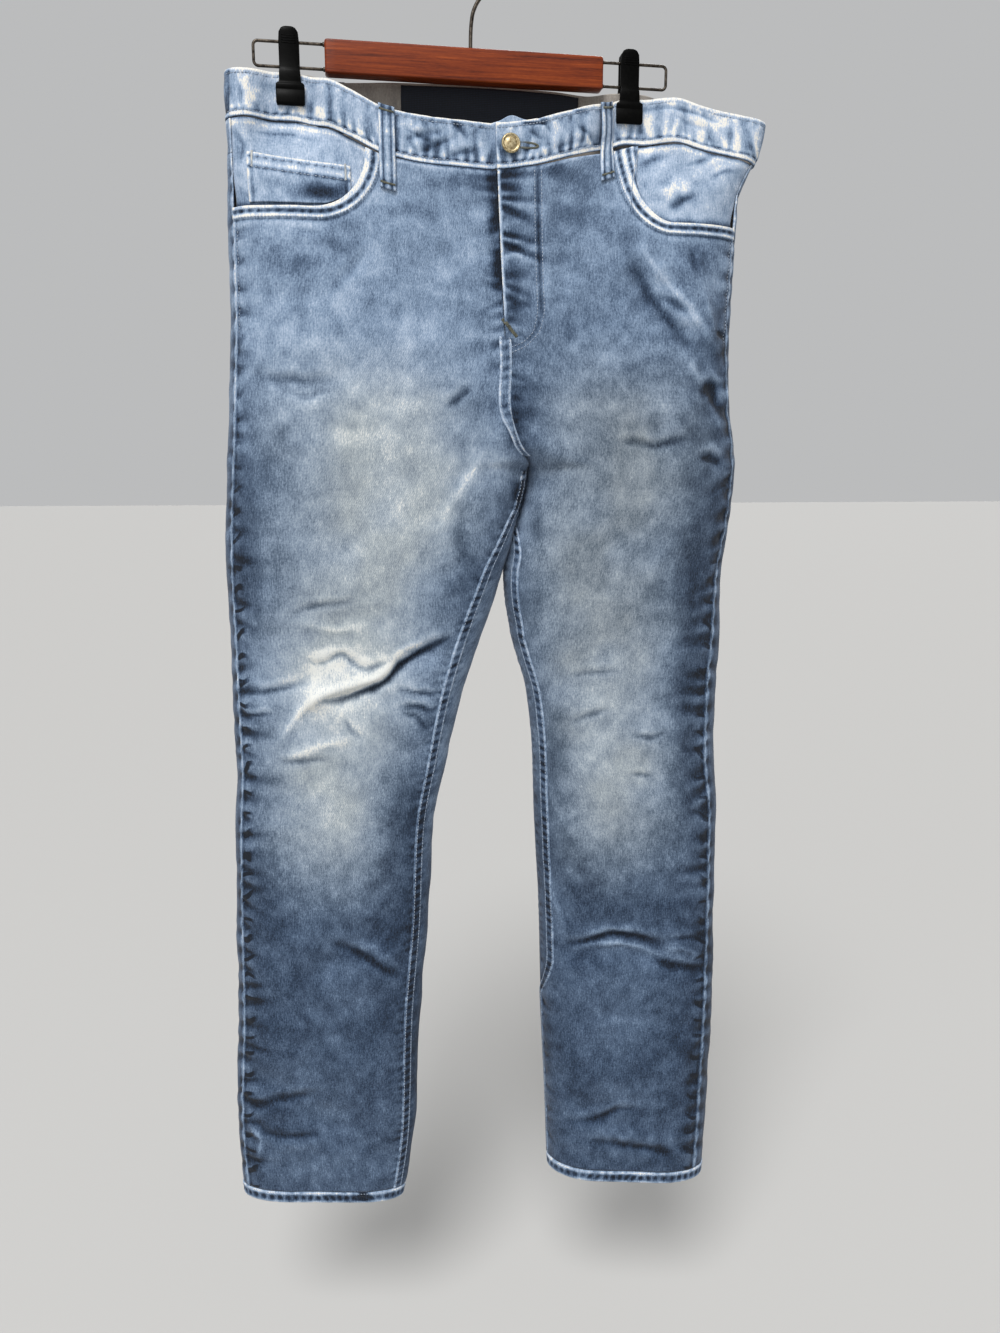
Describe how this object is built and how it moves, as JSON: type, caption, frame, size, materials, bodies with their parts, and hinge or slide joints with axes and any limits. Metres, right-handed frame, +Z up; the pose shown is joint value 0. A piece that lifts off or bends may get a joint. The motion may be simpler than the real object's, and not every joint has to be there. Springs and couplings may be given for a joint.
{
  "type": "slim jeans on a clip hanger",
  "caption": "Five-pocket slim denim jeans hung by the waistband from two clips on a wooden bar hanger with a wire hook.",
  "frame": {"origin": "inside top of the hanger's hook, where a rail holds it", "axes": "+X along the hanger's bar towards the wearer's left side, -Y out of the front of the jeans, +Z up"},
  "size_m": [0.5341, 0.1034, 1.2195],
  "materials": {
    "denim": "stonewashed mid-blue cotton twill, faded at thighs and knees",
    "dark_tape": "plain navy woven cotton",
    "button_metal": "worn, slightly tarnished",
    "wood": "reddish-brown stain, satin lacquer",
    "wire": "dull plated steel wire",
    "clip_plastic": "black, slightly glossy"
  },
  "bodies": {
    "root": {"back_left": "denim", "back_pocket_left": "denim", "back_pocket_right": "denim", "back_right": "denim", "belt_loop_centre_back": "denim", "belt_loop_front_left": "denim", "belt_loop_front_right": "denim", "belt_loop_side_left": "denim", "belt_loop_side_right": "denim", "clip_back_jaw_left": "clip_plastic", "clip_back_jaw_right": "clip_plastic", "clip_front_jaw_left": "clip_plastic", "clip_front_jaw_right": "clip_plastic", "clip_spring_left": "wire", "clip_spring_right": "wire", "coin_pocket": "denim", "fly_facing": "denim", "fly_shield": "denim", "front_left": "denim", "front_right": "denim", "hanger_bar": "wood", "hanger_hook": "wire", "hem_left": "denim", "hem_right": "denim", "inner_label": "dark_tape", "pocket_facing_left": "denim", "pocket_facing_right": "denim", "waist_button": "button_metal", "waistband_back_left": "denim", "waistband_back_right": "denim", "waistband_front_left": "denim", "waistband_front_right": "denim", "wire_loop_left": "wire", "wire_loop_right": "wire", "yoke_left": "denim", "yoke_right": "denim", "zip_tape": "dark_tape"}
  },
  "joints": []
}
